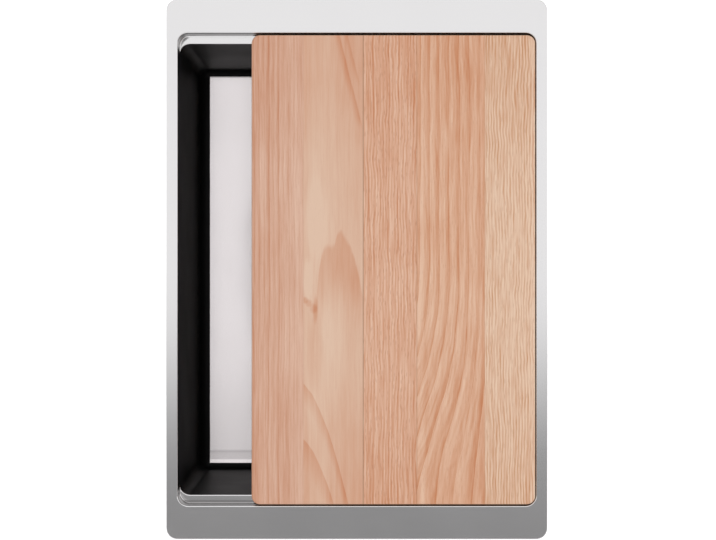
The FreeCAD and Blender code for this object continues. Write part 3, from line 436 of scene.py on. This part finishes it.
board = {
    "staveWidths": (49.0, 56.2, 50.6, 64.0, 47.6),
    "left": -99.2,
    "glueStrength": (0.0, 0.05, 0.75, 0.3, 0.12, 0.0),
    "glueColour": rgb(0.346, 0.183, 0.106),
    "endLight": rgb(0.577, 0.366, 0.24),
    "endDark": rgb(0.404, 0.231, 0.135),
}
plainStave = {
    "light": rgb(0.895, 0.596, 0.433), "dark": rgb(0.635, 0.255, 0.12), "rayColour": rgb(0.5, 0.212, 0.115),
    "wander": 8.0, "ripple": 1.6, "lean": 0.0, "leanStart": 0.0, "leanEnd": 1.0, "tilt": 0.5, "fan": 1.0,
    "ringShift": 0.0, "lateSharp": 3.0, "lateLow": 0.3, "lateUntil": None, "fibre": 0.5, "ribAcross": 0.6,
    "ribAlong": 0.03, "ends": 0.14, "bands": (), "spots": (), "lineGap": 0.0, "waver": (0.05, 0.045, 0.05),
    "waverWide": 5.0, "rayAcross": 0.75, "rayAlong": 0.11, "raySize": 0.30,
}
plainArch = {"lean": 0.0, "bend": 0.0, "bendLeft": 0.0, "square": 0.0}
flamePeak = {"soft": 8.0, "fade": 1000.0, "tone": 0.35, "rough": 0.5, "low": -62.0, "full": 6.0}
frontSweep = {
    "start": -48.0, "lean": 1.2, "bend": 0.04, "bendLeft": 0.04, "soft": 2.0, "tone": 0.36, "rough": 0.12,
    "low": -230.0, "full": -215.0,
}
rearSweep = {"start": -17.8, "lean": 4.0, "rough": 0.2}
staveLooks = [
    {
        "seed": (3, 1, 0), "light": rgb(0.847, 0.568, 0.428), "dark": rgb(0.606, 0.255, 0.135), "base": 0.27,
        "ringGap": 4.7, "late": 0.55, "lateSharp": 2.2, "lateUntil": (-72.0, -58.0), "wander": 5.0, "streak": 0.7,
        "patch": 0.4, "rib": 0.5, "ray": 0.12, "lineGap": 2.6, "line": 0.05,
        "bands": ((-95.4, 4.5, 0.2), (-85.0, 22.0, 0.09), (-60.0, 9.0, -0.05)),
    },
    {
        "seed": (9, 4, 2), "light": rgb(0.847, 0.598, 0.444), "dark": rgb(0.645, 0.252, 0.12), "base": 0.25,
        "ringGap": 15.0, "late": 0.06, "wander": 16.0, "fibre": 0.2, "streak": 0.3, "patch": 0.3, "rib": 0.25,
        "ray": 0.05, "ends": 0.25,
        "spots": (
            (-44.0, -10.0, 6.0, 24.0, -0.28), (-47.0, -29.0, 4.5, 4.0, 0.36), (-43.0, -32.0, 4.5, 4.5, 0.3),
            (-38.6, -37.0, 4.5, 6.0, 0.3), (-36.5, -38.0, 3.0, 16.0, 0.36), (-17.0, -50.0, 15.0, 50.0, -0.12),
            (-36.0, 52.0, 13.0, 46.0, -0.14), (1.0, -16.0, 5.0, 26.0, 0.1), (-36.0, -76.0, 10.0, 50.0, 0.16),
        ),
        "flame": {
            "jag": 34.0, "paleX": -34.0, "paleWide": 24.0, "pale": 0.16,
            "arches": (
                {**flamePeak, "start": -17.5, "bend": 0.11, "bendLeft": 1.2, "edge": 31.0},
                {**flamePeak, "start": -23.5, "square": 0.0011, "edge": 18.0},
                {**frontSweep, "edge": -111.0, "fade": 20.0},
                {**frontSweep, "edge": -163.0, "fade": 30.0},
                {**rearSweep, "edge": 224.0, "soft": 6.0, "fade": 22.0, "tone": 0.34, "low": 130.0, "full": 145.0},
                {**rearSweep, "edge": 255.0, "soft": 5.0, "fade": 12.0, "tone": 0.22, "low": 170.0, "full": 185.0},
            ),
        },
    },
    {
        "seed": (17, 8, 4), "base": 0.34, "ringGap": 4.7, "late": 0.35, "lateLow": 0.1, "lateSharp": 2.0,
        "wander": 6.0, "streak": 0.3, "patch": 0.2, "rib": 1.0, "ribAcross": 0.66, "ribAlong": 0.035, "ray": 0.4,
        "raySize": 0.34, "lineGap": 2.9, "line": 0.2, "waver": (0.045, 0.045, 0.05), "waverWide": 4.0,
        "bands": ((55.0, 5.0, 0.12),),
    },
    {
        "seed": (26, 2, 6), "light": rgb(0.885, 0.582, 0.409), "dark": rgb(0.635, 0.25, 0.111), "base": 0.27,
        "ringGap": 9.3, "ringShift": 2.8, "late": 0.66, "lateSharp": 2.6, "lateLow": 0.5, "lean": 42.0, "fan": 0.25,
        "leanStart": 10.0, "leanEnd": -240.0, "streak": 0.4, "patch": 0.3, "rib": 0.8, "ray": 0.2,
        "lineGap": 3.1, "line": 0.09, "bands": ((60.0, 5.0, -0.16), (119.0, 6.0, 0.18)),
    },
    {
        "seed": (35, 6, 8), "light": rgb(0.904, 0.654, 0.481), "dark": rgb(0.654, 0.317, 0.164), "base": 0.26,
        "rayColour": rgb(0.596, 0.346, 0.202), "ringGap": 2.6, "late": 0.15, "streak": 0.3, "patch": 0.2, "rib": 1.3,
        "ribAcross": 0.85, "ribAlong": 0.05, "ray": 0.42, "rayAcross": 0.7, "rayAlong": 0.09, "ends": 0.24,
        "lineGap": 2.75, "line": 0.32, "waver": (0.04, 0.05, 0.05), "waverWide": 3.6,
        "bands": ((165.8, 4.0, -0.2),),
    },
]
leftEdge = board["left"]
for number, (width, look) in enumerate(zip(board["staveWidths"], staveLooks), 1):
    values = {**plainStave, **board, **look, "glue": board["glueStrength"][number - 1:number + 1]}
    finishes[f"beech{number}"] = beech(f"beech{number}", values, (leftEdge, leftEdge + width))
    leftEdge += width
print("beech ready")


# which finish each CAD node wears; the longest start of its name counts
finishOf = {
    "deck": "deckSteel", "deck_seal": "foam", "bowl_walls": "blackWalls", "bowl_floor": "floorSteel",
    "waste_": "wasteSteel", "waste_upper_gasket": "rubber", "waste_lower_gasket": "rubber",
    "waste_body": "whitePlastic", "basket": "wasteSteel", "basket_stopper": "rubber", "basket_stem": "whitePlastic",
    "overflow_": "wasteSteel", "overflow_gasket": "rubber", "overflow_elbow": "whitePlastic",
    "overflow_hose": "hosePlastic", "hose_clip_": "zinc", "rail_": "railSteel", "earth_tag": "railSteel",
    "sound_pad_": "damping", "clamp_": "zinc", **{f"board_stave_{n}": f"beech{n}" for n in range(1, 6)},
}
seams = {"angle": math.radians(28), "weld": 0.000004, "flatness": 90}


def splitSeams(piece):  # sharp edges stay sharp, and the rest is smooth
    piece.data.shade_smooth()
    piece.modifiers.new("split", "EDGE_SPLIT").split_angle = seams["angle"]


for name, node in nodes.items():
    start = max((start for start in finishOf if name.startswith(start)), key=len)
    node.data.materials.clear()
    node.data.materials.append(finishes[finishOf[start]])
    node.modifiers.new("weld", "WELD").merge_threshold = seams["weld"]
    splitSeams(node)
    node.modifiers.new("flat", "WEIGHTED_NORMAL").weight = seams["flatness"]
print("finishes assigned")


# pieces built here, in millimetres: rings of points, stacked upwards, closed by poles or wrapped round
def ringFaces(rows, columns, wrapped):  # each face joins two neighbours in a row with the two above them
    row = np.arange(rows if wrapped else rows - 1)[:, None]
    column = np.arange(columns)[None, :]
    here, above = row * columns, (row + 1) % rows * columns
    beside = (column + 1) % columns
    return np.stack((here + column, here + beside, above + beside, above + column), axis=-1).reshape(-1, 4)


def ringPiece(name, points, finish, body, wrapped=False):  # points: rows by columns by three coordinates
    rows, columns = points.shape[:2]
    spots = points.reshape(-1, 3)
    faces = ringFaces(rows, columns, wrapped).tolist()
    if not wrapped:
        spots = np.concatenate([spots, points[:1].mean(axis=1), points[-1:].mean(axis=1)])
        here = np.arange(columns)
        there = (here + 1) % columns
        last = (rows - 1) * columns
        faces += np.stack([there, here, np.full(columns, rows * columns)], axis=-1).tolist()
        faces += np.stack([last + here, last + there, np.full(columns, rows * columns + 1)], axis=-1).tolist()
    return meshPiece(name, spots, faces, finish, body)


def meshPiece(name, spots, faces, finish, body):  # from millimetres to a piece that rides on a body
    mesh = bpy.data.meshes.new(name)
    mesh.from_pydata((spots / 1000.0).tolist(), [], faces)
    mesh.materials.append(finishes[finish])
    piece = bpy.data.objects.new(name, mesh)
    scene.collection.objects.link(piece)
    splitSeams(piece)
    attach(piece, body)
    return piece


def turned(radius, angle, z):  # points at a radius round the z axis
    return np.stack([radius * np.cos(angle), radius * np.sin(angle), z], axis=-1)


def threadGrid(low, values, high):  # heights and angles of a thread's rows and columns
    z = np.arange(low, high, values["pitch"] / values["steps"])
    angle = np.arange(values["columns"]) * 2 * math.pi / values["columns"]
    return np.meshgrid(z, angle, indexing="ij")


ridge = {"steep": 1.7, "sunk": 0.2}


def threadRise(z, angle, pitch):  # 0 in the groove, 1 on the crest: a flat-topped ridge that climbs a pitch a turn
    turn = z / pitch - angle / (2 * math.pi)
    phase = turn - np.floor(turn)
    return np.clip(ridge["steep"] * (1 - np.abs(2 * phase - 1)) - ridge["sunk"], 0, 1)


clampThread = {
    "pitch": 1.0, "crest": 3.0, "core": 2.45, "flat": 2.4, "tip": -71.3, "tipBevel": 0.4, "tipFade": 1.2,
    "foot": -9.3, "footRadius": 5.5, "footTop": -6.8, "edge": 0.35, "plain": 2.0, "steps": 6, "columns": 24,
    "x": 105.0, "y": 234.0,
}


def threadedBolt(values, row, side, end, across):
    # the shank's radius is the core's plus the ridge's height times its rise, cut flat on two sides; the head is turned
    tip, foot, top, core = values["tip"], values["foot"], values["footTop"], values["core"]
    z, angle = threadGrid(tip + values["tipBevel"], values, foot)
    rise = threadRise(z, angle, values["pitch"])
    rise = rise * np.clip((z - tip) / values["tipFade"], 0, 1) * np.clip((foot - z) / values["plain"], 0, 1)
    shank = turned(core + (values["crest"] - core) * rise, angle, z)
    shank[..., 0] = np.clip(shank[..., 0], -values["flat"], values["flat"])
    edge, wide = values["edge"], values["footRadius"]
    head = np.array([(wide - edge, foot), (wide, foot + edge), (wide, top - edge), (wide - edge, top)])
    ends = [turned(sizes[:, :1], angle[:1], sizes[:, 1:] + 0 * angle[:1])
            for sizes in (np.array([(core - values["tipBevel"], tip)]), head)]
    points = np.concatenate([ends[0], shank, ends[1]]) + np.array([across * values["x"], side * values["y"], 0.0])
    piece = ringPiece(f"clamp_thread_{row}_{end}", points, "zinc", f"bolt_{row}_{end}")
    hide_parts(f"clamp_bolt_{row}_{end}")


for row, side in (("front", -1), ("rear", 1)):
    for end, across in (("left", -1), ("right", 1)):
        threadedBolt(clampThread, row, side, end, across)
print("clamp bolts ready")


outletThread = {
    "pitch": 2.309, "low": -283.0, "high": -264.2, "root": 23.82, "height": 0.48, "inner": 23.0, "steps": 8,
    "columns": 96, "fade": 2.5,
}


def outletRidge(values):  # the radius is the root's plus the height times the ridge's rise, faded at both ends
    z, angle = threadGrid(values["low"], values, values["high"])
    fade = np.clip(np.minimum(z - values["low"], values["high"] - z) / values["fade"], 0, 1)
    outside = turned(values["root"] + values["height"] * threadRise(z, angle, values["pitch"]) * fade, angle, z)
    shrink = values["inner"] / values["root"]
    inside = outside[[-1, 0]] * np.array([shrink, shrink, 1.0])
    points = np.concatenate([outside, inside])
    ringPiece("outlet_thread", points, "whitePlastic", "sink", True)


outletRidge(outletThread)
print("outlet thread ready")


clipSlots = {"count": 30, "wide": 1.1, "long": 5.2, "radius": 14.0, "sunk": 0.2, "proud": 0.05, "bare": 0.62}


def wormSlots(name, values, centre, axis, housing):
    # small dark boxes, painted shade standing in for the band's open slots, bent round the clip's band, one at each
    # step of angle, left out under its housing
    angles = (np.arange(values["count"]) + 0.5) * 2 * math.pi / values["count"]
    gap = np.abs((angles - housing + math.pi) % (2 * math.pi) - math.pi)
    angles = angles[gap > values["bare"]]
    half = values["wide"] / (2 * values["radius"])
    turn = angles[:, None] + half * np.array([-1, 1, 1, -1, -1, 1, 1, -1])
    radius = values["radius"] + np.array([-values["sunk"]] * 4 + [values["proud"]] * 4)
    height = values["long"] / 2 * np.array([-1, -1, 1, 1, -1, -1, 1, 1]) + 0 * turn
    spots = turned(radius, turn, height).reshape(-1, 3)
    if axis == "y":
        spots = spots[:, [0, 2, 1]] * np.array([1.0, -1.0, 1.0])
    sides = np.array([[0, 3, 2, 1], [4, 5, 6, 7], [0, 1, 5, 4], [1, 2, 6, 5], [2, 3, 7, 6], [3, 0, 4, 7]])
    faces = (sides[None] + 8 * np.arange(len(angles))[:, None, None]).reshape(-1, 4)
    meshPiece(name, spots + np.array(centre), faces.tolist(), "slotShade", "sink")


wormSlots("clip_slots_upper", clipSlots, (0.0, 233.0, -84.0), "z", 0.0)
wormSlots("clip_slots_lower", clipSlots, (0.0, 72.0, -227.5), "y", -math.pi / 2)
print("clip slots ready")


# pale floor, studio light and camera
studio = {
    "floorSize": 5.0, "floorDrop": 0.0005, "floorGlow": 0.62, "floorRough": 0.9, "floorColour": rgb(0.92, 0.92, 0.92),
    "skyColour": rgb(1.0, 0.995, 0.998), "skyRear": 0.985, "skyFront": 0.285, "skyDown": 1.0, "lowest": 0.03,
    "band": (-0.15, -0.018), "bandReturn": (-0.24, -0.36), "above": (-0.05, 0.02),
    "horizon": 0.5, "horizonFrom": (0.2, 0.42), "boxes": 0.42, "boxesFrom": (0.85, 0.5),
    "backdrop": 0.86, "backdropFrom": (0.0, 0.3),
    "cameraHeight": 1.3727, "deckTop": 0.0027, "frameWidth": 0.6752, "sensor": 36.0, "nearest": 0.01,
    "centreX": 0.0011, "centreY": -0.0006,
}


def paleFloor(values, level):
    half = values["floorSize"] / 2
    corners = [(-half, -half, level), (half, -half, level), (half, half, level), (-half, half, level)]
    mesh = bpy.data.meshes.new("paleFloor")
    mesh.from_pydata(corners, [], [(0, 1, 2, 3)])
    material, shades, shader = newMaterial("paleFloor")
    setSockets(shader, Base_Color=values["floorColour"], Roughness=values["floorRough"])
    setSockets(shader, Emission_Color=rgb(1, 1, 1), Emission_Strength=values["floorGlow"])
    behind = shades.put("ShaderNodeNewGeometry").outputs["Backfacing"]  # clear when looked at from below
    clear = shades.put("ShaderNodeBsdfTransparent").outputs[0]
    choice = shades.put("ShaderNodeMixShader", {0: behind, 1: shader.outputs[0], 2: clear}).outputs[0]
    shades.tree.links.new(choice, shades.tree.nodes["Material Output"].inputs["Surface"])
    mesh.materials.append(material)
    floor = bpy.data.objects.new("paleFloor", mesh)
    scene.collection.objects.link(floor)


def softSky(values):  # bright all round, with a darker band in front of the camera that the steel mirrors
    world = bpy.data.worlds.new("studio")
    world.use_nodes = True
    shades, background = Shades(world.node_tree), world.node_tree.nodes["Background"]
    axes = shades.axes(shades.put("ShaderNodeTexCoord").outputs["Generated"])
    slope = shades.calc("DIVIDE", axes[1], shades.calc("MAXIMUM", axes[2], values["lowest"]))
    sky = shades.add(
        shades.ranged(slope, *values["band"], values["skyFront"], values["skyRear"]),
        shades.ranged(slope, *values["bandReturn"], 0.0, values["skyRear"] - values["skyFront"]),
    )
    # four soft boxes low down: one plus a share of the cosine of four times the bearing
    square = shades.times(axes[0], axes[0])
    share = shades.calc("DIVIDE", square, shades.add(square, shades.times(axes[1], axes[1]), 0.0001))
    waves = shades.add(shades.times(share, shades.minus(share, 1.0), 8.0), 1.0)
    low = shades.ranged(axes[2], *values["boxesFrom"], 0.0, values["boxes"])
    sky = shades.times(sky, shades.add(shades.times(waves, low), 1.0))
    sky = shades.times(sky, shades.ranged(axes[2], *values["horizonFrom"], values["horizon"], 1.0))
    above = shades.ranged(axes[2], *values["above"])
    down = shades.times(shades.minus(1.0, above), values["skyDown"])
    strength = shades.add(shades.times(sky, above), down)
    seen = shades.put("ShaderNodeLightPath").outputs["Is Camera Ray"]  # a plain backdrop behind the side views
    backdrop = shades.ranged(axes[2], *values["backdropFrom"], 1.0, values["backdrop"])
    strength = shades.ranged(seen, 0.0, 1.0, strength, backdrop, "LINEAR")
    shades.tree.links.new(strength, background.inputs["Strength"])
    setSockets(background, Color=values["skyColour"])
    scene.world = world


def overheadCamera(values):  # the lens is sensor by distance over the width seen at deck level
    data = bpy.data.cameras.new("camera")
    data.sensor_width = values["sensor"]
    data.lens = values["sensor"] * (values["cameraHeight"] - values["deckTop"]) / values["frameWidth"]
    data.clip_start = values["nearest"]
    camera = bpy.data.objects.new("camera", data)
    camera.location = (values["centreX"], values["centreY"], values["cameraHeight"])
    scene.collection.objects.link(camera)
    scene.camera = camera


paleFloor(studio, cadBox[0][2] - studio["floorDrop"])
softSky(studio)
overheadCamera(studio)
print("floor, light and camera ready")
